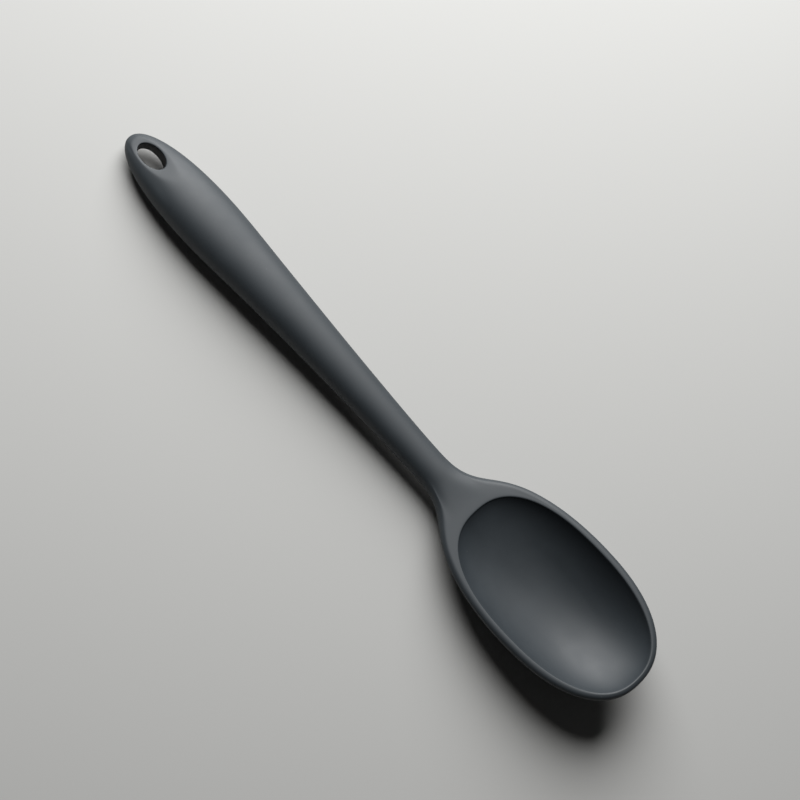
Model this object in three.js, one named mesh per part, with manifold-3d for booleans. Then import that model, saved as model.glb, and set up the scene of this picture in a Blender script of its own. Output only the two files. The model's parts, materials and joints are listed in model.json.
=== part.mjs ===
// A one-piece kitchen spoon: a silicone skin moulded over a stiff nylon core.
// Millimetres, +Z up. The spoon lies as on a table, with its tail towards -X and its bowl towards +X.
import * as THREE from 'three';
import { mergeVertices } from 'three/addons/utils/BufferGeometryUtils.js';
import Module from 'manifold-3d';

// Lengths along the spoon, each measured from the station before it
const TAIL_TO_GRIP = 42.5;
const GRIP_TO_TAPER = 35;
const TAPER_TO_STEM = 45.5;
const STEM_TO_NECK = 47;
const NECK_TO_THROAT = 11;
const THROAT_TO_SHOULDER = 10;
const SHOULDER_TO_BELLY = 10;
const SHOULDER_TO_BOWL = 44;
const BOWL_TO_TIP = 45;

// Widths seen from above
const GRIP_WIDTH = 24.2;
const TAPER_WIDTH = 20.4;
const STEM_WIDTH = 15.9;
const NECK_WIDTH = 13.3;
const THROAT_WIDTH = 17.8;
const BOWL_WIDTH = 54.4;
const BOWL_OVERRUN = 9; // how far behind the shoulder the bowl's oval would close

// Thicknesses seen from the side
const GRIP_THICKNESS = 15.6;
const TAPER_THICKNESS = 14.2;
const STEM_THICKNESS = 11.8;
const NECK_THICKNESS = 9.8;
const TAIL_ROUND = 5; // length of the rounding at the very end of the tail
const TAIL_FALL = 7.6; // how much the crest falls from the grip to the end of the tail
const TAIL_LIFT = 3.5; // how high the underside curves up at the end of the tail
const TAIL_TOE = 26; // length of tail that curves up off the table
const TAIL_REST = 30; // length of tail before the handle starts to leave the table
const FOOT_TRIM = 0.4; // depth of the flats that the tail and the belly rest on

// Heights of the handle's underside above the table
const TAPER_LIFT = 1.6;
const STEM_LIFT = 2.4;
const NECK_LIFT = 2.9;

// Bowl
const BOWL_DEPTH = 14.5;
const FRONT_DEPTH = 0.3; // share by which the bowl gets deeper from its middle towards the tip
const RIM_LAND = 3.2; // flat rim at the sides
const TIP_LAND = 2.5; // flat rim at the tip
const BACK_LAND = 1.7; // flat rim between the shoulder and the hollow
const RIM_ROUND = 2; // rounding of the rim's outer edge
const RIM_RISE = 14; // how much the line of the rim climbs from the neck to the tip

// Hang hole and the flat facet round it
const EYE_FROM_TAIL = 12.1;
const EYE_LENGTH = 13.4;
const EYE_WIDTH = 7.9;
const PAD_DEPTH = 0.7;

// Core, and the silicone keys that run through it
const SKIN = 1.3; // silicone over the core
const FIT = 0.3; // gap between skin and core
const LEAF = 1.6; // core under the middle of the bowl
const LIP = 6; // height of rim that is silicone alone
const SLOT_LENGTH = 14;
const SLOT_WIDTH = 4;
const SLOT_PITCH = 28;
const LEAF_HOLE = 5;
const LEAF_HOLES = 6;
const LEAF_RING_LENGTH = 44;
const LEAF_RING_WIDTH = 22;

// Squareness of the ovals: 2 is an ellipse, and more is squarer
const TAIL_SQUARENESS = 2.2;
const BOWL_BACK_SQUARENESS = 2.15;
const BOWL_TIP_SQUARENESS = 2.3;
const HOLLOW_BACK_SQUARENESS = 2.45;
const HOLLOW_TIP_SQUARENESS = 2.3;
const BELLY_SQUARENESS = 2.2;
const ROUND_SECTION = 2.1;
const EDGE_FLATNESS = 1.4; // a wide, low top gets a flat crown with a rounded edge
const HOLLOW_STEEPNESS = 1.3; // 2 is a paraboloid, and 1 is an ellipsoid

// Fineness of the facets
const SKIN_AROUND = 28;
const CORE_AROUND = 20;
const SKIN_STEPS = 8; // rings from the tail to the widest part of the grip
const CORE_STEPS = 5;
const SPAN_SHARES = [0.7, 0.7, 0.7, 0.25, 0.25, 0.5]; // rings in each span from grip to bowl, beside those
const TIP_SHARE = 1.25;
const HOLLOW_AROUND = 36;
const HOLLOW_RINGS = 7;
const HOLE_SIDES = 28;
const KEY_SIDES = 12;

// Stations along X
const GRIP_X = TAIL_TO_GRIP;
const TAPER_X = GRIP_X + GRIP_TO_TAPER;
const STEM_X = TAPER_X + TAPER_TO_STEM;
const NECK_X = STEM_X + STEM_TO_NECK;
const THROAT_X = NECK_X + NECK_TO_THROAT;
const SHOULDER_X = THROAT_X + THROAT_TO_SHOULDER;
const BELLY_X = SHOULDER_X + SHOULDER_TO_BELLY;
const BOWL_X = SHOULDER_X + SHOULDER_TO_BOWL;
const LENGTH = BOWL_X + BOWL_TO_TIP;
const FLOOR = LEAF + 2 * (SKIN + FIT) - FOOT_TRIM; // wall under the middle of the bowl
const RIM_SLOPE = RIM_RISE / (LENGTH - NECK_X);
const ROOM = LENGTH; // size of the blocks that cut away everything on one side of a plane
const MERGE_DISTANCE = 1e-5;
const LIFT_STEP = 0.1; // how closely the belly is searched for its lowest place

const wasm = await Module();
wasm.setup();

const siliconeMaterial = new THREE.MeshStandardMaterial({ color: 0x4a5054, roughness: 0.55, metalness: 0 });
const nylonMaterial = new THREE.MeshStandardMaterial({ color: 0x141516, roughness: 0.6, metalness: 0 });

// A quarter of an oval: 1 at t = 0, falling to 0 at t = 1
function oval(t, squareness) {
  return (1 - Math.min(Math.abs(t), 1) ** squareness) ** (1 / squareness);
}

function slopeOf(curve, x) {
  const step = 0.01;
  return (curve(x + step) - curve(x - step)) / (2 * step);
}

// Cubic from a to b, each { x, value, slope }
function bridge(a, b, x) {
  const run = b.x - a.x;
  const t = (x - a.x) / run;
  const rise = t * t * (3 - 2 * t);
  const leave = t * (1 - t) * (1 - t) * run * a.slope;
  const arrive = t * t * (t - 1) * run * b.slope;
  return a.value + (b.value - a.value) * rise + leave + arrive;
}

// Smooth curve through [x, value] stations, level at its first and last station
function curveThrough(stations) {
  const knots = stations.map(([x, value], i) => {
    const before = stations[i - 1];
    const after = stations[i + 1];
    const slope = before && after ? (after[1] - before[1]) / (after[0] - before[0]) : 0;
    return { x, value, slope };
  });
  return (x) => {
    const next = Math.max(1, knots.findIndex((knot) => knot.x >= x));
    return bridge(knots[next - 1], knots[next], x);
  };
}

const handleHalfWidth = curveThrough([
  [GRIP_X, GRIP_WIDTH / 2],
  [TAPER_X, TAPER_WIDTH / 2],
  [STEM_X, STEM_WIDTH / 2],
  [NECK_X, NECK_WIDTH / 2],
]);

const handleThickness = curveThrough([
  [GRIP_X, GRIP_THICKNESS],
  [TAPER_X, TAPER_THICKNESS],
  [STEM_X, STEM_THICKNESS],
  [NECK_X, NECK_THICKNESS],
]);

function bowlHalfWidth(x, inset) {
  const half = BOWL_WIDTH / 2 - inset;
  if (x > BOWL_X) return half * oval((x - BOWL_X) / (BOWL_TO_TIP - inset), BOWL_TIP_SQUARENESS);
  return half * oval((BOWL_X - x) / (SHOULDER_TO_BOWL + BOWL_OVERRUN - inset), BOWL_BACK_SQUARENESS);
}

// Half the width of the spoon, or of a form that lies `inset` inside it
function halfWidth(x, inset) {
  if (x < GRIP_X) {
    return (GRIP_WIDTH / 2 - inset) * oval((GRIP_X - x) / (GRIP_X - inset), TAIL_SQUARENESS);
  }
  if (x < NECK_X) return handleHalfWidth(x) - inset;
  const bowl = (at) => bowlHalfWidth(at, inset);
  if (x > SHOULDER_X) return bowl(x);
  const neck = { x: NECK_X, value: NECK_WIDTH / 2 - inset, slope: 0 };
  const shoulder = { x: SHOULDER_X, value: bowl(SHOULDER_X), slope: slopeOf(bowl, SHOULDER_X) };
  const slope = (shoulder.value - neck.value) / (SHOULDER_X - NECK_X);
  const throat = { x: THROAT_X, value: THROAT_WIDTH / 2 - inset, slope };
  return x < THROAT_X ? bridge(neck, throat, x) : bridge(throat, shoulder, x);
}

// Depth of the bowl's form at x, as a share of that at its middle
function depthShare(x) {
  return 1 + (FRONT_DEPTH * (x - BOWL_X)) / SHOULDER_TO_BOWL;
}

// How much of the belly's full depth is left at x
function bellyFall(x, inset) {
  const reach = x > BOWL_X ? BOWL_TO_TIP : SHOULDER_TO_BOWL + BOWL_OVERRUN;
  const away = Math.min(Math.abs(x - BOWL_X) / (reach - inset), 1);
  return depthShare(x) * Math.sqrt(1 - away ** BELLY_SQUARENESS);
}

// The tilt of the bowl lowers the back of its belly, and the bowl is lifted by as much to rest on the table
function bowlLift() {
  const depth = FLOOR + BOWL_DEPTH - RIM_ROUND + FOOT_TRIM;
  let sink = 0;
  for (let x = SHOULDER_X; x < LENGTH; x += LIFT_STEP) {
    sink = Math.min(sink, RIM_SLOPE * (x - BOWL_X) + depth * (1 - bellyFall(x, 0)));
  }
  return -sink;
}

const BOWL_LIFT = bowlLift();

function rimHeight(x) {
  return FLOOR + BOWL_DEPTH + BOWL_LIFT + RIM_SLOPE * (x - BOWL_X);
}

const underside = curveThrough([
  [TAIL_REST, -FOOT_TRIM],
  [TAPER_X, TAPER_LIFT],
  [STEM_X, STEM_LIFT],
  [NECK_X, NECK_LIFT],
]);

// The line that the handle lies along: on the table at the tail, then a little above it
function restLine(x) {
  return x < TAIL_REST ? -FOOT_TRIM : underside(x);
}

// Underside of the handle, which curves up at the end of the tail
function handleKeel(x) {
  return restLine(x) + TAIL_LIFT * Math.max(1 - x / TAIL_TOE, 0) ** 2;
}

function handleCrest(x) {
  const tailFall = TAIL_FALL * Math.max(1 - x / GRIP_X, 0) ** 2;
  return restLine(x) + (x < GRIP_X ? GRIP_THICKNESS : handleThickness(x)) - tailFall;
}

// Top of the neck and of the bowl: level at the neck, then turning up into the line of the rim
function neckCrest(x) {
  if (x > SHOULDER_X) return rimHeight(x);
  const neck = { x: NECK_X, value: handleCrest(NECK_X), slope: 0 };
  return bridge(neck, { x: SHOULDER_X, value: rimHeight(SHOULDER_X), slope: RIM_SLOPE }, x);
}

// Height of the widest line of the bowl
function bowlWaist(x, inset) {
  return rimHeight(x) - RIM_ROUND - inset;
}

function bellyKeel(x, inset) {
  const depth = bowlWaist(BOWL_X, inset) - BOWL_LIFT + FOOT_TRIM - inset;
  return bowlWaist(x, inset) - depth * bellyFall(x, inset);
}

function keel(x, inset) {
  if (x < NECK_X) return handleKeel(x) + inset;
  const belly = (at) => bellyKeel(at, inset);
  if (x > BELLY_X) return belly(x);
  const neck = { x: NECK_X, value: handleKeel(NECK_X) + inset, slope: 0 };
  const join = { x: BELLY_X, value: belly(BELLY_X), slope: slopeOf(belly, BELLY_X) };
  return bridge(neck, join, x);
}

// Top, widest and bottom heights of the section at x
function sectionHeights(x, inset) {
  const bottom = keel(x, inset);
  if (x < NECK_X) {
    const top = handleCrest(x) - inset;
    const waist = (top + bottom) / 2;
    const end = oval(1 - Math.min((x - inset) / TAIL_ROUND, 1), ROUND_SECTION);
    return { top: waist + (top - waist) * end, waist, bottom: waist + (bottom - waist) * end };
  }
  const top = neckCrest(x) - inset;
  const share = THREE.MathUtils.smoothstep(x, NECK_X, BELLY_X);
  const waist = THREE.MathUtils.lerp((top + bottom) / 2, top - RIM_ROUND, share);
  if (x < BOWL_X) return { top, waist, bottom };
  const flatness = (EDGE_FLATNESS * BOWL_TO_TIP) / RIM_ROUND;
  const end = Math.sqrt(1 - Math.min((x - BOWL_X) / (BOWL_TO_TIP - inset), 1) ** flatness);
  return { top: waist + (top - waist) * end, waist, bottom };
}

// One ring of the spoon's skin, square to X
function section(x, inset, around) {
  const { top, waist, bottom } = sectionHeights(x, inset);
  const half = halfWidth(x, inset);
  const edge = x > BOWL_X ? RIM_ROUND : top - waist;
  const crown = Math.max(ROUND_SECTION, (EDGE_FLATNESS * half) / edge);
  const ring = [];
  for (let i = 0; i < around; i += 1) {
    const angle = (2 * Math.PI * i) / around;
    const above = Math.sin(angle) > 0;
    const across = Math.abs(Math.cos(angle)) ** (2 / (above ? crown : ROUND_SECTION));
    const y = half * Math.sign(Math.cos(angle)) * across;
    const z = waist + (above ? top - waist : waist - bottom) * Math.sin(angle);
    ring.push(new THREE.Vector3(x, y, z));
  }
  return ring;
}

// X stations, close together at the two round ends
function stationsAlong(inset, steps) {
  const xs = [];
  for (let i = 1; i <= steps; i += 1) {
    xs.push(GRIP_X - (GRIP_X - inset) * Math.cos((Math.PI * i) / (2 * steps)));
  }
  const inner = [GRIP_X, TAPER_X, STEM_X, NECK_X, THROAT_X, SHOULDER_X, BOWL_X];
  SPAN_SHARES.forEach((share, k) => {
    const count = Math.ceil(share * steps);
    for (let i = 1; i <= count; i += 1) xs.push(inner[k] + ((inner[k + 1] - inner[k]) * i) / count);
  });
  const tipSteps = Math.ceil(TIP_SHARE * steps);
  for (let i = 1; i < tipSteps; i += 1) {
    xs.push(BOWL_X + (BOWL_TO_TIP - inset) * Math.sin((Math.PI * i) / (2 * tipSteps)));
  }
  return xs;
}

// Closed surface through rings of equal size, drawn to a point at both ends
function loft(startPoint, rings, endPoint) {
  const around = rings[0].length;
  const points = [startPoint, ...rings.flat(), endPoint];
  const last = points.length - 1;
  const index = [];
  for (let i = 0; i < around; i += 1) {
    const j = (i + 1) % around;
    index.push(0, 1 + j, 1 + i);
    for (let r = 0; r < rings.length - 1; r += 1) {
      const low = 1 + r * around;
      const high = low + around;
      index.push(low + i, low + j, high + j, low + i, high + j, high + i);
    }
    const end = last - around;
    index.push(end + i, end + j, last);
  }
  const geometry = new THREE.BufferGeometry().setFromPoints(points);
  geometry.setIndex(index);
  return geometry;
}

// A three.js geometry as a solid that can be cut and joined
function solid(geometry) {
  geometry.deleteAttribute('normal');
  geometry.deleteAttribute('uv');
  const merged = mergeVertices(geometry, MERGE_DISTANCE);
  const vertProperties = new Float32Array(merged.attributes.position.array);
  const triVerts = new Uint32Array(merged.index.array);
  return new wasm.Manifold(new wasm.Mesh({ numProp: 3, vertProperties, triVerts }));
}

function mesh(name, shape, material) {
  const { vertProperties, triVerts } = shape.getMesh();
  const geometry = new THREE.BufferGeometry();
  geometry.setAttribute('position', new THREE.BufferAttribute(vertProperties, 3));
  geometry.setIndex(new THREE.BufferAttribute(triVerts, 1));
  geometry.computeVertexNormals();
  const piece = new THREE.Mesh(geometry, material);
  piece.name = name;
  return piece;
}

// The whole spoon before its hollow is cut, or a form that lies `inset` inside it
function spoonForm(inset, around, steps) {
  const rings = stationsAlong(inset, steps).map((x) => section(x, inset, around));
  const tailEnd = new THREE.Vector3(inset, 0, sectionHeights(inset, inset).waist);
  const tipX = LENGTH - inset;
  const tip = new THREE.Vector3(tipX, 0, bowlWaist(tipX, inset));
  return solid(loft(tailEnd, rings, tip));
}

// The bowl's hollow, grown on all sides by `grow`, with a neck that rises out of the mouth
function hollow(grow) {
  const half = BOWL_WIDTH / 2 - RIM_LAND + grow;
  const back = SHOULDER_TO_BOWL - BACK_LAND + grow;
  const front = BOWL_TO_TIP - TIP_LAND + grow;
  const depth = BOWL_DEPTH + grow;
  const ringAt = (size, drop) => {
    const ring = [];
    for (let i = 0; i < HOLLOW_AROUND; i += 1) {
      const angle = (2 * Math.PI * i) / HOLLOW_AROUND;
      const toTip = Math.cos(angle) > 0;
      const power = 2 / (toTip ? HOLLOW_TIP_SQUARENESS : HOLLOW_BACK_SQUARENESS);
      const reach = toTip ? front : -back;
      const x = BOWL_X + size * reach * Math.abs(Math.cos(angle)) ** power;
      const y = size * half * Math.sign(Math.sin(angle)) * Math.abs(Math.sin(angle)) ** power;
      ring.push(new THREE.Vector3(x, y, rimHeight(x) - drop * depthShare(x)));
    }
    return ring;
  };
  const rings = [];
  for (let i = 1; i <= HOLLOW_RINGS; i += 1) {
    const angle = (Math.PI * i) / (2 * HOLLOW_RINGS);
    const drop = i < HOLLOW_RINGS ? depth * Math.cos(angle) ** HOLLOW_STEEPNESS : 0;
    rings.push(ringAt(Math.sin(angle), drop));
  }
  rings.push(ringAt(1, -BOWL_DEPTH));
  const floor = new THREE.Vector3(BOWL_X, 0, rimHeight(BOWL_X) - depth);
  const mouth = new THREE.Vector3(BOWL_X, 0, rimHeight(BOWL_X) + BOWL_DEPTH);
  return solid(loft(floor, rings, mouth));
}

// Everything above a plane that climbs along X at `slope` through (x, z), from `fromX` onwards
function blockAbove(x, z, slope, fromX) {
  const block = new THREE.BoxGeometry(2 * ROOM, ROOM, ROOM);
  block.translate(0, 0, ROOM / 2);
  block.rotateY(-Math.atan(slope));
  block.translate(x, 0, z);
  if (fromX === undefined) return solid(block);
  const side = new THREE.BoxGeometry(2 * ROOM, 2 * ROOM, 4 * ROOM);
  side.translate(fromX + ROOM, 0, 0);
  return solid(block).intersect(solid(side));
}

// Flat facet round the hang hole, parallel to the crest of the tail
function padCut(inset) {
  const slope = slopeOf(handleCrest, EYE_FROM_TAIL);
  return blockAbove(EYE_FROM_TAIL, handleCrest(EYE_FROM_TAIL) - PAD_DEPTH - inset, slope);
}

function footCut() {
  const block = new THREE.BoxGeometry(3 * ROOM, ROOM, ROOM);
  block.translate(0, 0, -ROOM / 2);
  return solid(block);
}

// Room above the core that the silicone lip fills
function lipCut(gap) {
  return blockAbove(BOWL_X, rimHeight(BOWL_X) - LIP - gap, RIM_SLOPE, SHOULDER_X - gap);
}

// Upright oval post, used for the hang hole and for the keys in the bowl
function post(x, y, length, width, sides) {
  const shape = new THREE.CylinderGeometry(0.5, 0.5, 2 * ROOM, sides);
  shape.rotateX(Math.PI / 2);
  shape.scale(length, width, 1);
  shape.translate(x, y, 0);
  return solid(shape);
}

// Upright post with round ends
function slotPost(x, length, width) {
  const half = width / 2;
  const straight = (length - width) / 2;
  const outline = new THREE.Shape();
  outline.absarc(straight, 0, half, -Math.PI / 2, Math.PI / 2, false);
  outline.absarc(-straight, 0, half, Math.PI / 2, (3 * Math.PI) / 2, false);
  const shape = new THREE.ExtrudeGeometry(outline, {
    depth: 2 * ROOM,
    bevelEnabled: false,
    curveSegments: KEY_SIDES / 2,
  });
  shape.translate(x, 0, -ROOM);
  return solid(shape);
}

// Slots along the handle and holes round the bowl: the core has them, and the silicone fills them
function keys(shrink) {
  const posts = [];
  const lastSlot = NECK_X - SLOT_LENGTH / 2;
  for (let x = GRIP_X; x <= lastSlot; x += SLOT_PITCH) {
    posts.push(slotPost(x, SLOT_LENGTH - 2 * shrink, SLOT_WIDTH - 2 * shrink));
  }
  for (let i = 0; i < LEAF_HOLES; i += 1) {
    const angle = (2 * Math.PI * i) / LEAF_HOLES;
    const x = BOWL_X + (LEAF_RING_LENGTH / 2) * Math.cos(angle);
    const y = (LEAF_RING_WIDTH / 2) * Math.sin(angle);
    posts.push(post(x, y, LEAF_HOLE - 2 * shrink, LEAF_HOLE - 2 * shrink, KEY_SIDES));
  }
  return posts.reduce((all, next) => all.add(next));
}

// What lies `inset` inside the skin, and `gap` clear of the silicone lip and keys
function coreForm(inset, gap) {
  return spoonForm(inset, CORE_AROUND, CORE_STEPS)
    .subtract(hollow(inset))
    .subtract(padCut(inset))
    .subtract(lipCut(gap));
}

const eye = post(EYE_FROM_TAIL, 0, EYE_LENGTH, EYE_WIDTH, HOLE_SIDES);

const skin = spoonForm(0, SKIN_AROUND, SKIN_STEPS)
  .subtract(hollow(0))
  .subtract(padCut(0))
  .subtract(footCut())
  .subtract(coreForm(SKIN, 0).subtract(keys(FIT)))
  .subtract(eye);

const core = coreForm(SKIN + FIT, FIT).subtract(keys(0)).subtract(eye);

const spoon = new THREE.Group();
spoon.add(mesh('silicone_skin', skin, siliconeMaterial));
spoon.add(mesh('nylon_core', core, nylonMaterial));
spoon.position.x = -LENGTH / 2;

export default spoon;
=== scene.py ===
import json
import math

import bmesh
import bpy
import numpy as np
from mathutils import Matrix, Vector

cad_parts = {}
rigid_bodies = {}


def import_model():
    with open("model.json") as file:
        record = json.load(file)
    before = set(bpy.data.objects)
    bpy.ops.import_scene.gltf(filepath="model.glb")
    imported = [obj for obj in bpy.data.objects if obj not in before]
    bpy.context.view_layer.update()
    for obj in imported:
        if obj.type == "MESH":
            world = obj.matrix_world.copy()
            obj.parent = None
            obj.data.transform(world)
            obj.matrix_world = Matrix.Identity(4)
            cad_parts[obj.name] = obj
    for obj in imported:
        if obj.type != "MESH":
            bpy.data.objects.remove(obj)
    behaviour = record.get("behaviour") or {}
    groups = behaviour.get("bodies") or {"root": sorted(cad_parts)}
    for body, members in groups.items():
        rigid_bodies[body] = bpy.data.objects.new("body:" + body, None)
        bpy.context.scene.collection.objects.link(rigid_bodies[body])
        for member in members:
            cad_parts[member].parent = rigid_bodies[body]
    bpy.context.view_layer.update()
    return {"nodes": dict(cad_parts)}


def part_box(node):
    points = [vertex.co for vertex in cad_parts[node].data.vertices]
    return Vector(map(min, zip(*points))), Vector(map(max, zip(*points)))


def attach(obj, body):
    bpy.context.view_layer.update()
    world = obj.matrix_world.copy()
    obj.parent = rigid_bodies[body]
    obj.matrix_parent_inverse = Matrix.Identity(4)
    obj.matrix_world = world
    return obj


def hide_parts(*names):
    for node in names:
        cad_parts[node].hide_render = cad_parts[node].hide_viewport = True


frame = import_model()

MM = 0.001
QUARTER = math.pi / 2

# The spoon's box, from the frame
skin_low, skin_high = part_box("silicone_skin")
TAIL_X = skin_low.x
TIP_X = skin_high.x
BOWL_HALF = skin_high.y

# Stations along the spoon
GRIP_X = TAIL_X + 42.5 * MM
TAPER_X = TAIL_X + 77.5 * MM
STEM_X = TAIL_X + 123 * MM
NECK_X = TAIL_X + 170 * MM
OPENING_X = TAIL_X + 173 * MM  # where the handle grows out of the bowl
THROAT_X = TAIL_X + 181 * MM
SHOULDER_X = TAIL_X + 191 * MM
BELLY_X = TAIL_X + 201 * MM
BOWL_X = TAIL_X + 235 * MM

# Half widths and thicknesses of the handle at the grip, taper, stem and neck
HANDLE_X = (GRIP_X, TAPER_X, STEM_X, NECK_X)
HANDLE_HALF = (12.1 * MM, 10.2 * MM, 7.95 * MM, 6.65 * MM)
HANDLE_THICK = (15.6 * MM, 14.2 * MM, 11.8 * MM, 9.8 * MM)
THROAT_HALF = 8.9 * MM
TAIL_ROUND = 5 * MM  # length over which the end of the tail is rounded off
TAIL_FALL = 7.6 * MM  # how much the crest falls from the grip to the end of the tail
TAIL_LIFT = 3.5 * MM  # how high the underside curves up at the end of the tail
TAIL_TOE = 26 * MM  # length of tail that curves up off the table
TAIL_REST_X = TAIL_X + 30 * MM
FOOT_TRIM = 0.4 * MM  # what the flats under the belly and the tail take off

# Heights of the handle's underside where it leaves the table, and at the taper, stem and neck
UNDERSIDE_X = (TAIL_REST_X, TAPER_X, STEM_X, NECK_X)
UNDERSIDE = (-FOOT_TRIM, 1.6 * MM, 2.4 * MM, 2.9 * MM)

# Bowl
BOWL_OVERRUN = 9 * MM  # how far the bowl's oval would run on behind the shoulder
BOWL_DEPTH = 14.5 * MM
FRONT_DEPTH = 0.3  # share by which the bowl gets deeper from its middle towards the tip
BOWL_FLOOR = 4.4 * MM
RIM_ROUND = 2 * MM
RIM_RISE = 14 * MM  # how much the rim climbs from the neck to the tip
RIM_SLOPE = RIM_RISE / (TIP_X - NECK_X)
RIM_LAND = 3.2 * MM  # width of the flat rim at the sides, at the tip and at the shoulder
TIP_LAND = 2.5 * MM
BACK_LAND = 1.7 * MM
HOLLOW_HALF = BOWL_HALF - RIM_LAND
HOLLOW_FRONT = TIP_X - BOWL_X - TIP_LAND
HOLLOW_BACK = BOWL_X - SHOULDER_X - BACK_LAND

# Squareness of the ovals: 2 is an ellipse, and more is squarer
TAIL_SQUARENESS = 2.2
BOWL_BACK_SQUARENESS = 2.15
BOWL_TIP_SQUARENESS = 2.3
HOLLOW_BACK_SQUARENESS = 2.45
HOLLOW_TIP_SQUARENESS = 2.3
BELLY_SQUARENESS = 2.2
ROUND_SECTION = 2.1
EDGE_FLATNESS = 1.4
HOLLOW_STEEPNESS = 1.3

# Hang hole, the flat facet round it, and the core in its wall
EYE_FROM_TAIL = 12.1  # in mm
EYE_X = TAIL_X + EYE_FROM_TAIL * MM
EYE_LONG = 6.7 * MM  # half the hole's length
EYE_WIDE = 3.95 * MM  # half the hole's width
PAD_DEPTH = 0.7 * MM  # how far the facet lies under the crest
CORE_DEPTH = 1.6 * MM  # how deep the core lies under the surface
CORE_FIT = 0.05 * MM  # gap between the silicone's lips and the core
GROOVE = 2 * MM  # depth of the groove where the core shows

# Parting line that the two halves of the mould leave
PARTING_HALF = 0.25 * MM
PARTING_HEIGHT = 0.09 * MM

# The cage that the skin is smoothed from
GRID = 14  # faces along each side of the grids at the bottom of the bowl
COLUMNS = 4 * GRID
CORNER_COLUMN = GRID // 2
SIDE_COLUMN = 12  # column at the widest part of the bowl
BACK_COLUMN = COLUMNS // 2  # column on the middle line behind the bowl
ACROSS = 3  # columns on each side of the middle line where the handle grows out
NECK_COLUMN = BACK_COLUMN - ACROSS
RING_STEP = math.radians(15)  # 3 steps to 45 degrees
RING_GAIN = 1 / (1 - (1 - math.cos(RING_STEP)) / 3)  # makes up for how far smoothing draws a ring in
GRID_ROUND = 0.3  # how far the corners of the grids are drawn in
GRID_EDGE = 0.999  # past this a point of a grid from -1 to 1 lies on its edge
INNER_ROW = 9  # row of all that is not on the rounded edge
LABELS = ("column", "row", "ring")  # what each vertex of the cage keeps while it is modelled
MERGE_DISTANCE = 0.001 * MM
SMOOTHING = 2  # levels of subdivision
EDGE_SAMPLES = 400  # along the spoon's edge, to space the columns evenly
BELLY_SAMPLES = 900  # along the belly, to find its lowest place

# Loops of the cage on the bowl
HOLLOW_GRID_SHARE = 0.5  # size of the grid at the bottom of the hollow, as a share of the hollow's
BELLY_GRID_SHARE = 0.42  # the same for the grid under the belly
HOLLOW_REACH = (HOLLOW_FRONT, HOLLOW_BACK, HOLLOW_HALF)
HOLLOW_GRID = tuple(HOLLOW_GRID_SHARE * reach for reach in HOLLOW_REACH)
BELLY_GRID = tuple(BELLY_GRID_SHARE * reach for reach in HOLLOW_REACH)
HOLLOW_SHARES = (0.72, 0.52, 0.35, 0.21, 0.1, 0.035)  # from the hollow's edge to its grid
BELLY_SHARES = (0.75, 0.5, 0.25)  # from the rounded edge to the belly's grid
INNER_EDGE = 0.6 * MM  # how far outside the hollow the flat of the rim starts
INNER_EDGE_LOOPS = ((-0.09 * MM, 0.62 * MM), (0.08 * MM, 0.09 * MM), (INNER_EDGE, 0.0))  # outwards, down
RIM_LOOPS = ((0.78, 0.3), (0.55, 0.65), (0.32, 1.0))  # share of the way on the neck, and on the bowl
UPPER_ROUND = math.radians(67.5)  # the last loop of the rim, three quarters up the edge's rounding
UPPER_ROUND_SHARE = 0.15

# Rings along the handle, in mm from the tail; the last seven before the end hold the hang hole
RING_PLACES = (166, 156, 141, 123, 105, 90, 77.5, 65, 54, 45, 36.5,
               28.5, 22.5, 17, EYE_FROM_TAIL, 7.5, 4, 1.8, 0.5)
RINGS = len(RING_PLACES)
EYE_RING = RING_PLACES.index(EYE_FROM_TAIL) + 1  # the ring through the middle of the hole
TAIL_DOME = 0.5 * MM  # how far the middle of the last ring bulges out

# Loops of the cage round the hang hole
FACET_LIMIT = 13 * MM  # the facet ends nearer to the middle of the hole than this
FACET_HALVINGS = 30  # steps of the search for the facet's edge
TAIL_MARGIN = 0.1 * MM  # that search stays this far inside the end of the tail
OUTSIDE_FACET = 1.17  # loop on the round of the tail, as a share of the way to the facet's edge
OUTSIDE_GAIN = 0.08  # how much further out that loop lies towards the bowl
INSIDE_FACET = 0.75  # loop on the facet, as such a share
EYE_EDGE = ((0.55 * MM, 0.0), (0.07 * MM, 0.08 * MM), (0.0, 0.55 * MM))  # outwards, into the wall
UNDER_EDGE = 3.2 * MM  # how far outside the hole its first loop lies on the underside
CORE_LIP = ((0.0, 0.25 * MM), (0.0, 0.04 * MM), (0.25 * MM, 0.0), (GROOVE, 0.0))  # outwards, off the core

# Colours, as 0 to 255 screen values
SILICONE = (41, 48, 53)
NYLON = (21, 21, 22)
DUST = (150, 152, 154)
FLOOR = (186, 186, 184)
FLOOR_BOUNCE = (48, 48, 48)

# Moulded surfaces
ROUGHNESS_SWING = 0.03
SPECK_CUT = 0.9  # only places whose random shade is above this hold a speck of dust
GRAIN_HEIGHT = 0.02 * MM

# Stage: floor, light and camera
FLOOR_SIZE = 4  # in m
LAMP_PLACE = (-418 * MM, 454 * MM, 503 * MM)
LAMP_AIM = (20 * MM, 0, 10 * MM)
LAMP_SIZE = 870 * MM
LAMP_POWER = 14.6  # in W
WORLD_STRENGTH = 0.02
CAMERA_TURN = (math.radians(10.98), math.radians(-11.58), math.radians(46.85))
CAMERA_PLACE = (5.7 * MM, -187 * MM, 695.4 * MM)
CAMERA_LENS = 85  # focal length and sensor width are in mm
SENSOR_WIDTH = 36


def mix(a, b, share):
    return a + (b - a) * share


def smooth_step(low, high, x):
    t = min(max((x - low) / (high - low), 0), 1)
    return t * t * (3 - 2 * t)


def oval(share, squareness):
    """A quarter of an oval: 1 at share 0, falling to 0 at share 1."""
    return (1 - min(abs(share), 1) ** squareness) ** (1 / squareness)


def slope_of(curve, x):
    step = 0.01 * MM
    return (curve(x + step) - curve(x - step)) / (2 * step)


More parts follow.
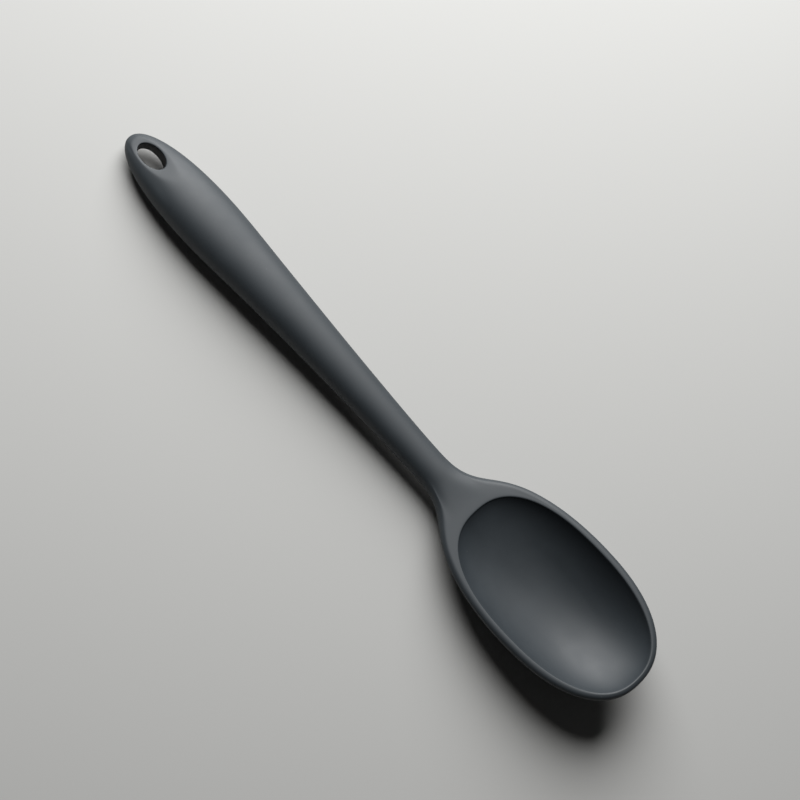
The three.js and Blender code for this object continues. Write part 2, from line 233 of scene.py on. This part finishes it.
def bridge(x, start, end):
    """Cubic between two (x, value, slope) ends."""
    run = end[0] - start[0]
    t = (x - start[0]) / run
    rise = t * t * (3 - 2 * t)
    leave = t * (1 - t) ** 2 * run * start[2]
    arrive = t * t * (t - 1) * run * end[2]
    return mix(start[1], end[1], rise) + leave + arrive


def curve_through(xs, values, x):
    """Smooth curve through stations, level at the first and the last."""
    slopes = [0]
    for i in range(1, len(xs) - 1):
        slopes.append((values[i + 1] - values[i - 1]) / (xs[i + 1] - xs[i - 1]))
    slopes.append(0)
    knots = list(zip(xs, values, slopes))
    last = next((i for i in range(1, len(xs)) if xs[i] >= x), len(xs) - 1)
    return bridge(x, knots[last - 1], knots[last])


# The spoon's form: widths, heights and sections
def bowl_half_width(x):
    if x > BOWL_X:
        return BOWL_HALF * oval((x - BOWL_X) / (TIP_X - BOWL_X), BOWL_TIP_SQUARENESS)
    reach = BOWL_X - SHOULDER_X + BOWL_OVERRUN
    return BOWL_HALF * oval((BOWL_X - x) / reach, BOWL_BACK_SQUARENESS)


def half_width(x):
    if x < GRIP_X:
        return HANDLE_HALF[0] * oval((GRIP_X - x) / (GRIP_X - TAIL_X), TAIL_SQUARENESS)
    if x < NECK_X:
        return curve_through(HANDLE_X, HANDLE_HALF, x)
    if x > SHOULDER_X:
        return bowl_half_width(x)
    neck = (NECK_X, HANDLE_HALF[-1], 0)
    shoulder = (SHOULDER_X, bowl_half_width(SHOULDER_X), slope_of(bowl_half_width, SHOULDER_X))
    throat = (THROAT_X, THROAT_HALF, (shoulder[1] - neck[1]) / (SHOULDER_X - NECK_X))
    return bridge(x, neck, throat) if x < THROAT_X else bridge(x, throat, shoulder)


def depth_share(x):
    """Depth of the bowl's form at x, as a share of that at its middle."""
    return 1 + FRONT_DEPTH * (x - BOWL_X) / (BOWL_X - SHOULDER_X)


def belly_fall(x):
    """How much of the belly's full depth is left at x."""
    reach = TIP_X - BOWL_X if x > BOWL_X else BOWL_X - SHOULDER_X + BOWL_OVERRUN
    away = min(abs(x - BOWL_X) / reach, 1)
    return depth_share(x) * math.sqrt(1 - away**BELLY_SQUARENESS)


# The tilted bowl is lifted until the lowest place of its belly rests on the table
BELLY_DEPTH = BOWL_FLOOR + BOWL_DEPTH - RIM_ROUND + FOOT_TRIM
belly_xs = np.linspace(SHOULDER_X, TIP_X, BELLY_SAMPLES)
BOWL_LIFT = -min(RIM_SLOPE * (x - BOWL_X) + BELLY_DEPTH * (1 - belly_fall(x)) for x in belly_xs)


def rim_height(x):
    return BOWL_FLOOR + BOWL_DEPTH + BOWL_LIFT + RIM_SLOPE * (x - BOWL_X)


def rest_line(x):
    """The line that the handle lies along: on the table at the tail, then a little above it."""
    return curve_through(UNDERSIDE_X, UNDERSIDE, x) if x > TAIL_REST_X else -FOOT_TRIM


def handle_keel(x):
    """Underside of the handle, which curves up at the end of the tail."""
    return rest_line(x) + TAIL_LIFT * max(1 - (x - TAIL_X) / TAIL_TOE, 0) ** 2


def handle_crest(x):
    if x > GRIP_X:
        return rest_line(x) + curve_through(HANDLE_X, HANDLE_THICK, x)
    tail_share = ((GRIP_X - x) / (GRIP_X - TAIL_X)) ** 2
    return rest_line(x) + HANDLE_THICK[0] - TAIL_FALL * tail_share


def neck_crest(x):
    """Top of the neck and of the bowl: level at the neck, then turning up into the line of the rim."""
    if x > SHOULDER_X:
        return rim_height(x)
    neck = (NECK_X, handle_crest(NECK_X), 0)
    return bridge(x, neck, (SHOULDER_X, rim_height(SHOULDER_X), RIM_SLOPE))


def belly_keel(x):
    return rim_height(x) - RIM_ROUND - BELLY_DEPTH * belly_fall(x)


def keel(x):
    if x < NECK_X:
        return handle_keel(x)
    if x > BELLY_X:
        return belly_keel(x)
    neck = (NECK_X, handle_keel(NECK_X), 0)
    return bridge(x, neck, (BELLY_X, belly_keel(BELLY_X), slope_of(belly_keel, BELLY_X)))


def section_heights(x):
    """Top, widest and bottom heights of the section at x."""
    bottom = keel(x)
    if x < NECK_X:
        top = handle_crest(x)
        waist = (top + bottom) / 2
        end = oval(1 - min((x - TAIL_X) / TAIL_ROUND, 1), ROUND_SECTION)
        return mix(waist, top, end), waist, mix(waist, bottom, end)
    top = neck_crest(x)
    share = smooth_step(NECK_X, BELLY_X, x)
    return top, mix((top + bottom) / 2, top - RIM_ROUND, share), bottom


def crown_power(x):
    """Squareness of the section's top: round on the handle, flat with a round edge on the bowl."""
    top, waist, _ = section_heights(x)
    return max(ROUND_SECTION, EDGE_FLATNESS * half_width(x) / (top - waist))


def top_height(x, y):
    top, waist, _ = section_heights(x)
    share = min(abs(y) / half_width(x), 1)
    return waist + (top - waist) * math.sqrt(1 - share ** crown_power(x))


def bottom_height(x, y):
    _, waist, bottom = section_heights(x)
    half = half_width(x)
    share = min(abs(y) / half, 1) if half > 0 else 0
    return waist - (waist - bottom) * math.sqrt(1 - share ** ROUND_SECTION)


def hollow_height(x, y):
    reach, squareness = HOLLOW_BACK, HOLLOW_BACK_SQUARENESS
    if x > BOWL_X:
        reach, squareness = HOLLOW_FRONT, HOLLOW_TIP_SQUARENESS
    along = abs((x - BOWL_X) / reach) ** squareness
    size = (along + abs(y / HOLLOW_HALF) ** squareness) ** (1 / squareness)
    drop = BOWL_DEPTH * max(1 - size**2, 0) ** (HOLLOW_STEEPNESS / 2)
    return rim_height(x) - drop * depth_share(x)


def pad_height(x):
    """Height of the flat facet round the hang hole."""
    return handle_crest(EYE_X) - PAD_DEPTH + slope_of(handle_crest, EYE_X) * (x - EYE_X)


def ring_point(x, angle):
    """Point of the cage round the section at x, with angle 0 at its widest line on the +Y side."""
    top, waist, bottom = section_heights(x)
    above = math.sin(angle) > 0
    power = 2 / (crown_power(x) if above else ROUND_SECTION)
    y = half_width(x) * math.copysign(abs(math.cos(angle)) ** power, math.cos(angle))
    z = (top - waist if above else waist - bottom) * math.sin(angle)
    return Vector((x, RING_GAIN * y, waist + RING_GAIN * z))


# Places of the cage on the bowl, by column: 0 at the tip, positive on the +Y side
back_xs = np.linspace(BOWL_X, OPENING_X, EDGE_SAMPLES)
back_ys = np.array([half_width(x) for x in back_xs])
back_lengths = np.concatenate(([0], np.cumsum(np.hypot(np.diff(back_xs), np.diff(back_ys)))))


def outline(column):
    """Plan point of the spoon's edge, from the tip to where the handle starts."""
    side = math.copysign(1, column)
    column = abs(column)
    if column <= SIDE_COLUMN:
        turn = QUARTER * column / SIDE_COLUMN
        power = 2 / BOWL_TIP_SQUARENESS
        x = BOWL_X + (TIP_X - BOWL_X) * abs(math.cos(turn)) ** power
        return Vector((x, side * BOWL_HALF * math.sin(turn) ** power, 0))
    share = (column - SIDE_COLUMN) / (NECK_COLUMN - SIDE_COLUMN)
    x = float(np.interp(share * back_lengths[-1], back_lengths, back_xs))
    return Vector((x, side * half_width(x), 0))


def inward(column):
    """Level direction into the spoon, square to its edge."""
    step = 0.05
    along = outline(column + step) - outline(column - step)
    return Vector((-along.y, along.x, 0)).normalized()


def hollow_edge(column, grow=0.0):
    side = math.copysign(1, column)
    column = abs(column)
    if column <= SIDE_COLUMN:
        turn = QUARTER * column / SIDE_COLUMN
        power, reach = 2 / HOLLOW_TIP_SQUARENESS, HOLLOW_FRONT + grow
    else:
        turn = QUARTER * (BACK_COLUMN - column) / (BACK_COLUMN - SIDE_COLUMN)
        power, reach = 2 / HOLLOW_BACK_SQUARENESS, -HOLLOW_BACK - grow
    x = BOWL_X + reach * abs(math.cos(turn)) ** power
    return Vector((x, side * (HOLLOW_HALF + grow) * abs(math.sin(turn)) ** power, 0))


def grid_place(u, v, front, back, half):
    """Plan point of a bottom grid whose corners are drawn in."""
    x = u * math.sqrt(1 - GRID_ROUND * v * v) * (front if u > 0 else back)
    return Vector((BOWL_X + x, v * math.sqrt(1 - GRID_ROUND * u * u) * half, 0))


def column_of(u, v):
    """Column of a point on the edge of a grid that runs from -1 to 1 both ways."""
    if u > GRID_EDGE:
        return round(CORNER_COLUMN * v)
    if abs(v) > GRID_EDGE:
        return round(math.copysign(CORNER_COLUMN * (2 - u), v))
    return round(math.copysign(BACK_COLUMN - CORNER_COLUMN * abs(v), v))


def grid_edge(column, front, back, half):
    """Plan point on the edge of a bottom grid, by its column."""
    c = abs(column)
    u, v = 1, c / CORNER_COLUMN
    if c > 3 * CORNER_COLUMN:
        u, v = -1, (BACK_COLUMN - c) / CORNER_COLUMN
    elif c > CORNER_COLUMN:
        u, v = 2 - c / CORNER_COLUMN, 1
    return grid_place(u, math.copysign(v, column), front, back, half)


def square_angle(a, b):
    """Angle on a ring of a point in a square of half side ACROSS, with equal steps along its sides."""
    if a == b == 0:
        return 0.0
    size = ACROSS / max(abs(a), abs(b))
    a, b = a * size, b * size
    if math.isclose(b, ACROSS):
        return QUARTER - RING_STEP * a
    if math.isclose(b, -ACROSS):
        return RING_STEP * a - QUARTER
    return RING_STEP * b if a > 0 else math.pi - RING_STEP * b


def across_of(column):
    """Columns from the middle line behind the bowl."""
    return int(math.copysign(BACK_COLUMN - abs(column), column))


def neck_weight(column):
    """1 where the section of the neck sets the cage, 0 where the rim of the bowl does."""
    if abs(column) >= NECK_COLUMN:
        return 1.0
    return 1 - smooth_step(OPENING_X, BELLY_X, outline(column).x)


def section_point(x, column, row):
    """Point of the handle's section at x, on its ring or inside it."""
    across = across_of(column)
    size = max(abs(across), abs(row)) / ACROSS
    centre = Vector((x, 0, section_heights(x)[1]))
    return centre.lerp(ring_point(x, square_angle(across, row)), size)


def edge_row(column, row):
    """Rows of the rounded edge: 0 at the widest line, 3 rows above it and 3 below."""
    if abs(column) >= NECK_COLUMN:
        return section_point(OPENING_X, column, row)
    edge = outline(column)
    angle = RING_STEP * row
    if row < 0:
        centre = Vector((mix(edge.x, BOWL_X, smooth_step(OPENING_X, BOWL_X, edge.x)), 0, 0))
        place = centre.lerp(edge, math.cos(angle) ** (2 / ROUND_SECTION))
        place.z = bottom_height(place.x, place.y)
        return place
    top, waist, _ = section_heights(edge.x)
    if edge.x > BOWL_X:
        waist = top - RIM_ROUND
    drawn_in = 1 - math.cos(angle) ** (2 / crown_power(edge.x)) if edge.x < BOWL_X else 0
    neck = edge - Vector((0, edge.y * drawn_in, 0))
    bowl = edge + inward(column) * RIM_ROUND * (1 - math.cos(angle))
    place = bowl.lerp(neck, neck_weight(column))
    place.z = waist + (top - waist) * math.sin(angle)
    return place


def neck_top(column, share):
    """Point on the top of the neck, a share of the way from the rounded edge to the hollow."""
    place = edge_row(column, ACROSS).lerp(hollow_edge(column, INNER_EDGE), share)
    place.z = top_height(place.x, place.y) if neck_weight(column) > 0 else 0
    return place


def rim_loop(column, neck_share, bowl_share):
    """A loop on the flat of the rim and of the neck."""
    neck = neck_top(column, neck_share)
    weight = neck_weight(column)
    if weight == 1:
        return neck
    rounded_edge = outline(column) + inward(column) * RIM_ROUND
    bowl = hollow_edge(column, INNER_EDGE).lerp(rounded_edge, bowl_share)
    bowl.z = neck_crest(bowl.x)
    return bowl.lerp(neck, weight)


def upper_round(column):
    """The loop on the edge's rounding that ends the rim."""
    neck = neck_top(column, UPPER_ROUND_SHARE)
    weight = neck_weight(column)
    if weight == 1:
        return neck
    bowl = outline(column) + inward(column) * RIM_ROUND * (1 - math.cos(UPPER_ROUND))
    bowl.z = neck_crest(bowl.x) - RIM_ROUND * (1 - math.sin(UPPER_ROUND))
    return bowl.lerp(neck, weight)


def inner_edge_loop(column, grow, drop):
    """A loop on the edge between the rim and the hollow."""
    place = hollow_edge(column, grow)
    place.z = rim_height(place.x) - drop
    return place


def hollow_loop(column, share):
    place = hollow_edge(column).lerp(grid_edge(column, *HOLLOW_GRID), share)
    place.z = hollow_height(place.x, place.y)
    return place


def belly_loop(column, share):
    place = edge_row(column, -ACROSS)
    place = place.lerp(grid_edge(column, *BELLY_GRID), share)
    place.z = bottom_height(place.x, place.y)
    return place


# Modelling in edit mode, as by hand
def layers(shape):
    """The labels of the vertices: their column, their row and their ring along the handle."""
    labels = shape.verts.layers.int
    return [labels.get(name) or labels.new(name) for name in LABELS]


def label_grid(piece, size, height):
    """Gives a new grid its columns and its place."""
    shape = bmesh.from_edit_mesh(piece.data)
    column, row, _ = layers(shape)
    for vert in shape.verts:
        if vert.select:
            u, v = vert.co.x, vert.co.y
            vert[column] = column_of(u, v)
            vert[row] = INNER_ROW
            vert.co = grid_place(u, v, *size)
            vert.co.z = height(vert.co.x, vert.co.y)
    bmesh.update_edit_mesh(piece.data)


def grow_loop(piece, row_number, where):
    """Extrudes the open edge and moves the new loop to its place."""
    bpy.ops.mesh.extrude_edges_move()
    shape = bmesh.from_edit_mesh(piece.data)
    column, row, _ = layers(shape)
    for vert in shape.verts:
        if vert.select:
            vert[row] = row_number
            vert.co = where(vert[column])
    bmesh.update_edit_mesh(piece.data)


def select_faces(piece, wanted):
    """Selects the faces whose every vertex is wanted."""
    bpy.ops.mesh.select_mode(type="FACE")
    bpy.ops.mesh.select_all(action="DESELECT")
    shape = bmesh.from_edit_mesh(piece.data)
    labels = layers(shape)
    for face in shape.faces:
        if all(wanted(*(vert[label] for label in labels)) for vert in face.verts):
            face.select_set(True)
    shape.select_flush_mode()
    bmesh.update_edit_mesh(piece.data)


def grow_faces(piece, where, ring_number=None):
    """Extrudes the selected faces and moves them to their place."""
    bpy.ops.mesh.extrude_region_move()
    shape = bmesh.from_edit_mesh(piece.data)
    column, row, ring = layers(shape)
    for vert in shape.verts:
        if vert.select:
            if ring_number is not None:
                vert[ring] = ring_number
            vert.co = where(vert[column], vert[row], vert[ring])
    bmesh.update_edit_mesh(piece.data)


def add_grid(size, height, piece=None):
    """Adds a bottom grid, to a piece that is being modelled or as a new one, and selects its edge."""
    bpy.ops.mesh.primitive_grid_add(x_subdivisions=GRID, y_subdivisions=GRID, size=2)
    piece = piece or bpy.context.object
    if bpy.context.mode != "EDIT_MESH":
        bpy.ops.object.mode_set(mode="EDIT")
    label_grid(piece, size, height)
    bpy.ops.mesh.region_to_loop()
    return piece


def model_bowl():
    """The hollow, the rim and the belly, grown outwards from two grids and joined at the widest line."""
    piece = add_grid(HOLLOW_GRID, hollow_height)
    for share in HOLLOW_SHARES:
        grow_loop(piece, INNER_ROW, lambda column: hollow_loop(column, share))
    for grow, drop in INNER_EDGE_LOOPS:
        grow_loop(piece, INNER_ROW, lambda column: inner_edge_loop(column, grow, drop))
    for neck_share, bowl_share in RIM_LOOPS:
        grow_loop(piece, INNER_ROW, lambda column: rim_loop(column, neck_share, bowl_share))
    grow_loop(piece, INNER_ROW, upper_round)
    for row in range(ACROSS, -1, -1):
        grow_loop(piece, row, lambda column: edge_row(column, row))
    add_grid(BELLY_GRID, bottom_height, piece)
    for share in BELLY_SHARES:
        grow_loop(piece, INNER_ROW, lambda column: belly_loop(column, share))
    for row in range(-ACROSS, 1):
        grow_loop(piece, row, lambda column: edge_row(column, row))
    bpy.ops.mesh.select_all(action="SELECT")
    bpy.ops.mesh.remove_doubles(threshold=MERGE_DISTANCE)
    bpy.ops.mesh.normals_make_consistent(inside=False)
    return piece


def handle_point(column, row, ring):
    place = section_point(TAIL_X + RING_PLACES[ring - 1] * MM, column, row)
    if ring == RINGS:
        size = max(abs(across_of(column)), abs(row)) / ACROSS
        place.x -= TAIL_DOME * (1 - size**2)
    return place


def grow_handle(piece):
    """Pulls the handle out of the back of the bowl, ring by ring, down to the tail."""
    select_faces(piece, lambda column, row, _: abs(column) >= NECK_COLUMN and abs(row) <= ACROSS)
    for ring in range(1, RINGS + 1):
        grow_faces(piece, handle_point, ring)


# The hang hole
def eye_angle(column, ring):
    return square_angle(EYE_RING - ring, across_of(column))


def eye_size(column, ring):
    """1 on the loop round the hole, and less inside it."""
    return max(abs(across_of(column)), abs(ring - EYE_RING)) / ACROSS


def eye_plan(angle, grow):
    x = EYE_X + (EYE_LONG + grow) * math.cos(angle)
    return Vector((x, (EYE_WIDE + grow) * math.sin(angle), 0))


def facet_reach(turn):
    """Distance from the middle of the hole to where the facet meets the round of the tail."""
    near, far = EYE_WIDE, FACET_LIMIT
    for _ in range(FACET_HALVINGS):
        reach = (near + far) / 2
        x = EYE_X + reach * math.cos(turn)
        if x > TAIL_X + TAIL_MARGIN and top_height(x, reach * math.sin(turn)) > pad_height(x):
            near = reach
        else:
            far = reach
    return near


def facet_loop(angle, share):
    """Plan point on a loop between the hole, at 0, and the edge of the facet, at 1."""
    middle = Vector((EYE_X, 0, 0))
    hole = eye_plan(angle, 0)
    direction = (hole - middle).normalized()
    turn = math.atan2(direction.y, direction.x)
    edge = middle + direction * facet_reach(turn)
    return hole.lerp(edge, share)


def outside_facet(angle):
    place = facet_loop(angle, OUTSIDE_FACET + OUTSIDE_GAIN * math.cos(angle))
    place.z = top_height(place.x, place.y)
    return place


def inside_facet(angle):
    place = facet_loop(angle, INSIDE_FACET)
    place.z = pad_height(place.x)
    return place


def facet_surface(place):
    return pad_height(place.x)


def resting_surface(place):
    """Underside of the tail, down to the table."""
    return max(bottom_height(place.x, place.y), 0)


def core_top(place):
    return pad_height(place.x) - CORE_DEPTH + CORE_FIT


def core_bottom(place):
    _, waist, bottom = section_heights(place.x)
    share = min(abs(place.y) / (half_width(place.x) - CORE_DEPTH), 1)
    return waist - (waist - bottom - CORE_DEPTH) * math.sqrt(1 - share**ROUND_SECTION) - CORE_FIT


def hole_loop(surface, grow, rise):
    """Places round the hang hole, by angle: a little outside it, and above or below a surface."""

    def place_at(angle):
        place = eye_plan(angle, grow)
        place.z = surface(place) + rise
        return place

    return place_at


def eye_loop(piece, place_at):
    """One more loop towards the hang hole; the faces inside it follow."""

    def where(column, row, ring):
        place = place_at(eye_angle(column, ring))
        middle = Vector((EYE_X, 0, place.z))
        return middle.lerp(place, eye_size(column, ring))

    grow_faces(piece, where)


def select_eye(piece, side):
    """Selects the faces that the hole goes through, on the top or the bottom of the tail."""

    def is_eye(column, row, ring):
        return abs(column) >= NECK_COLUMN and row == side * ACROSS and abs(ring - EYE_RING) <= ACROSS

    select_faces(piece, is_eye)


def cut_eye(piece):
    """The flat facet, and the hole through the tail with a groove where the core shows."""
    select_eye(piece, 1)
    eye_loop(piece, outside_facet)
    eye_loop(piece, inside_facet)
    for grow, inset in EYE_EDGE:
        eye_loop(piece, hole_loop(facet_surface, grow, -inset))
    for grow, gap in CORE_LIP:
        eye_loop(piece, hole_loop(core_top, grow, gap))
    bpy.ops.mesh.delete(type="FACE")
    select_eye(piece, -1)
    eye_loop(piece, hole_loop(resting_surface, UNDER_EDGE, 0.0))
    for grow, inset in EYE_EDGE:
        eye_loop(piece, hole_loop(resting_surface, grow, inset))
    for grow, gap in CORE_LIP:
        eye_loop(piece, hole_loop(core_bottom, grow, -gap))
    bpy.ops.mesh.delete(type="FACE")
    bpy.ops.mesh.select_mode(type="EDGE")
    bpy.ops.mesh.select_all(action="DESELECT")
    bpy.ops.mesh.select_non_manifold(use_wire=False, use_non_contiguous=False, use_verts=False)
    bpy.ops.mesh.bridge_edge_loops()


def raise_parting_line(piece):
    """The fine ridge that the two halves of the mould leave along the widest line."""
    bpy.ops.mesh.select_mode(type="EDGE")
    bpy.ops.mesh.select_all(action="DESELECT")
    shape = bmesh.from_edit_mesh(piece.data)
    _, row, _ = layers(shape)
    for edge in shape.edges:
        if all(vert[row] == 0 for vert in edge.verts):
            edge.select_set(True)
    bmesh.update_edit_mesh(piece.data)
    bpy.ops.mesh.bevel(offset=PARTING_HALF, segments=2, affect="EDGES")
    bpy.ops.mesh.select_mode(type="VERT")
    bpy.ops.mesh.select_less()
    bpy.ops.transform.shrink_fatten(value=PARTING_HEIGHT)


def model_skin():
    bpy.ops.object.select_all(action="DESELECT")
    piece = model_bowl()
    grow_handle(piece)
    cut_eye(piece)
    bpy.ops.mesh.select_all(action="SELECT")
    bpy.ops.mesh.normals_make_consistent(inside=False)
    raise_parting_line(piece)
    bpy.ops.object.mode_set(mode="OBJECT")
    smoothing = piece.modifiers.new("smooth", "SUBSURF")
    smoothing.levels = smoothing.render_levels = SMOOTHING
    bpy.ops.object.modifier_apply(modifier=smoothing.name)
    # The flats that the spoon rests on
    for vert in piece.data.vertices:
        vert.co.z = max(vert.co.z, 0)
    bpy.ops.object.shade_smooth()
    for name in LABELS:
        piece.data.attributes.remove(piece.data.attributes[name])
    piece.name = piece.data.name = "silicone_overmould"
    return piece


# Materials
def linear(shades):
    """A colour written as 0 to 255 screen values, as linear light."""
    shares = [shade / 255 for shade in shades]
    return [s / 12.92 if s <= 0.04045 else ((s + 0.055) / 1.055) ** 2.4 for s in shares] + [1]


def add_node(tree, kind, **values):
    """A new node with some of its inputs set."""
    node = tree.nodes.new(kind)
    for name, value in values.items():
        node.inputs[name.replace("_", " ")].default_value = value
    return node


def add_math(tree, operation, *terms):
    """The result of a new math node, whose terms are numbers or results of other nodes."""
    node = tree.nodes.new("ShaderNodeMath")
    node.operation = operation
    for socket, term in zip(node.inputs, terms):
        if isinstance(term, bpy.types.NodeSocket):
            tree.links.new(term, socket)
        else:
            socket.default_value = term
    return node.outputs[0]


def add_sockets(group, in_out, colours, values):
    for names, kind in ((colours, "NodeSocketColor"), (values, "NodeSocketFloat")):
        for name in names:
            group.interface.new_socket(name, in_out=in_out, socket_type=kind)


def moulded_surface():
    """Shade, roughness and height of a moulded surface: faint clouds, fine grain and specks of dust."""
    group = bpy.data.node_groups.new("moulded_surface", "ShaderNodeTree")
    add_sockets(group, "INPUT", ("Colour",), ("Roughness", "Clouds", "Dust"))
    add_sockets(group, "OUTPUT", ("Colour",), ("Roughness", "Height"))
    links = group.links
    given = group.nodes.new("NodeGroupInput")
    result = group.nodes.new("NodeGroupOutput")
    place = group.nodes.new("ShaderNodeTexCoord")
    clouds = add_node(group, "ShaderNodeTexNoise", Scale=90.0, Detail=4.0, Roughness=0.6)
    grain = add_node(group, "ShaderNodeTexNoise", Scale=2600.0, Detail=2.0, Roughness=0.5)
    specks = add_node(group, "ShaderNodeTexVoronoi", Scale=420.0)
    for texture in (clouds, grain, specks):
        links.new(place.outputs["Object"], texture.inputs["Vector"])

    swing = add_node(group, "ShaderNodeMapRange", From_Min=0.3, From_Max=0.7, To_Min=-1.0, To_Max=1.0)
    links.new(clouds.outputs["Fac"], swing.inputs["Value"])
    shade = add_math(group, "MULTIPLY_ADD", swing.outputs["Result"], given.outputs["Clouds"], 1.0)
    tint = group.nodes.new("ShaderNodeHueSaturation")
    links.new(given.outputs["Colour"], tint.inputs["Color"])
    links.new(shade, tint.inputs["Value"])

    small = add_node(group, "ShaderNodeMapRange", From_Min=0.05, From_Max=0.09, To_Min=1.0, To_Max=0.0)
    links.new(specks.outputs["Distance"], small.inputs["Value"])
    few = add_math(group, "GREATER_THAN", specks.outputs["Color"], SPECK_CUT)
    dust = add_math(group, "MULTIPLY", small.outputs["Result"], few)
    dusty = add_math(group, "MULTIPLY", dust, given.outputs["Dust"])
    dusted = group.nodes.new("ShaderNodeMix")
    dusted.data_type = "RGBA"
    dusted.inputs["B"].default_value = linear(DUST)
    links.new(dusty, dusted.inputs["Factor"])
    links.new(tint.outputs["Color"], dusted.inputs["A"])
    links.new(dusted.outputs["Result"], result.inputs["Colour"])

    swung = swing.outputs["Result"]
    rough = add_math(group, "MULTIPLY_ADD", swung, ROUGHNESS_SWING, given.outputs["Roughness"])
    links.new(rough, result.inputs["Roughness"])
    links.new(grain.outputs["Fac"], result.inputs["Height"])
    return group


def moulded_material(name, group, shades, **surface_values):
    """A material with the moulded surface in its own colour and strengths."""
    material = bpy.data.materials.new(name)
    material.use_nodes = True
    tree = material.node_tree
    shader = tree.nodes["Principled BSDF"]
    surface = tree.nodes.new("ShaderNodeGroup")
    surface.node_tree = group
    surface.inputs["Colour"].default_value = linear(shades)
    for socket, value in surface_values.items():
        surface.inputs[socket].default_value = value
    bump = add_node(tree, "ShaderNodeBump", Strength=0.3, Distance=GRAIN_HEIGHT)
    tree.links.new(surface.outputs["Colour"], shader.inputs["Base Color"])
    tree.links.new(surface.outputs["Roughness"], shader.inputs["Roughness"])
    tree.links.new(surface.outputs["Height"], bump.inputs["Height"])
    tree.links.new(bump.outputs["Normal"], shader.inputs["Normal"])
    return material, shader


def silicone_material(group):
    strengths = {"Roughness": 0.6, "Clouds": 0.05, "Dust": 0.25}
    material, shader = moulded_material("silicone_matt", group, SILICONE, **strengths)
    shader.inputs["IOR"].default_value = 1.41
    shader.inputs["Specular IOR Level"].default_value = 1.0
    return material


def nylon_material(group):
    strengths = {"Roughness": 0.55, "Clouds": 0.15, "Dust": 0.1}
    material, shader = moulded_material("nylon_black", group, NYLON, **strengths)
    shader.inputs["IOR"].default_value = 1.53
    return material


def floor_material():
    """Pale to the eye, and darker to the light that it throws back up."""
    material = bpy.data.materials.new("floor_pale")
    material.use_nodes = True
    tree = material.node_tree
    shader = tree.nodes["Principled BSDF"]
    path = tree.nodes.new("ShaderNodeLightPath")
    seen = add_math(tree, "MAXIMUM", path.outputs["Is Camera Ray"], path.outputs["Is Glossy Ray"])
    shade = tree.nodes.new("ShaderNodeMix")
    shade.data_type = "RGBA"
    shade.inputs["A"].default_value = linear(FLOOR_BOUNCE)
    shade.inputs["B"].default_value = linear(FLOOR)
    tree.links.new(seen, shade.inputs["Factor"])
    tree.links.new(shade.outputs["Result"], shader.inputs["Base Color"])
    shader.inputs["Roughness"].default_value = 0.9
    shader.inputs["Specular IOR Level"].default_value = 0.1
    return material


def set_material(piece, material):
    piece.data.materials.clear()
    piece.data.materials.append(material)


# Stage
def lay_floor():
    bpy.ops.object.select_all(action="DESELECT")
    bpy.ops.mesh.primitive_plane_add(size=FLOOR_SIZE)
    floor = bpy.context.object
    floor.name = "floor"
    set_material(floor, floor_material())


def light_spoon():
    """One large soft lamp, and a faint even light from all round."""
    bpy.ops.object.light_add(type="AREA", location=LAMP_PLACE)
    lamp = bpy.context.object
    lamp.name = "softbox"
    lamp.data.shape = "DISK"
    lamp.data.size = LAMP_SIZE
    lamp.data.energy = LAMP_POWER
    lamp.rotation_euler = (Vector(LAMP_AIM) - Vector(LAMP_PLACE)).to_track_quat("-Z", "Y").to_euler()
    lamp.visible_camera = False
    world = bpy.data.worlds.new("room")
    world.use_nodes = True
    background = world.node_tree.nodes["Background"]
    background.inputs["Color"].default_value = (1, 1, 1, 1)
    background.inputs["Strength"].default_value = WORLD_STRENGTH
    bpy.context.scene.world = world


def set_camera():
    bpy.ops.object.camera_add(location=CAMERA_PLACE, rotation=CAMERA_TURN)
    camera = bpy.context.object
    camera.data.lens = CAMERA_LENS
    camera.data.sensor_width = SENSOR_WIDTH
    bpy.context.scene.camera = camera
    bpy.context.scene.view_settings.view_transform = "Standard"


skin = model_skin()
moulded = moulded_surface()
set_material(skin, silicone_material(moulded))
set_material(frame["nodes"]["nylon_core"], nylon_material(moulded))
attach(skin, "root")
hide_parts("silicone_skin")
lay_floor()
light_spoon()
set_camera()
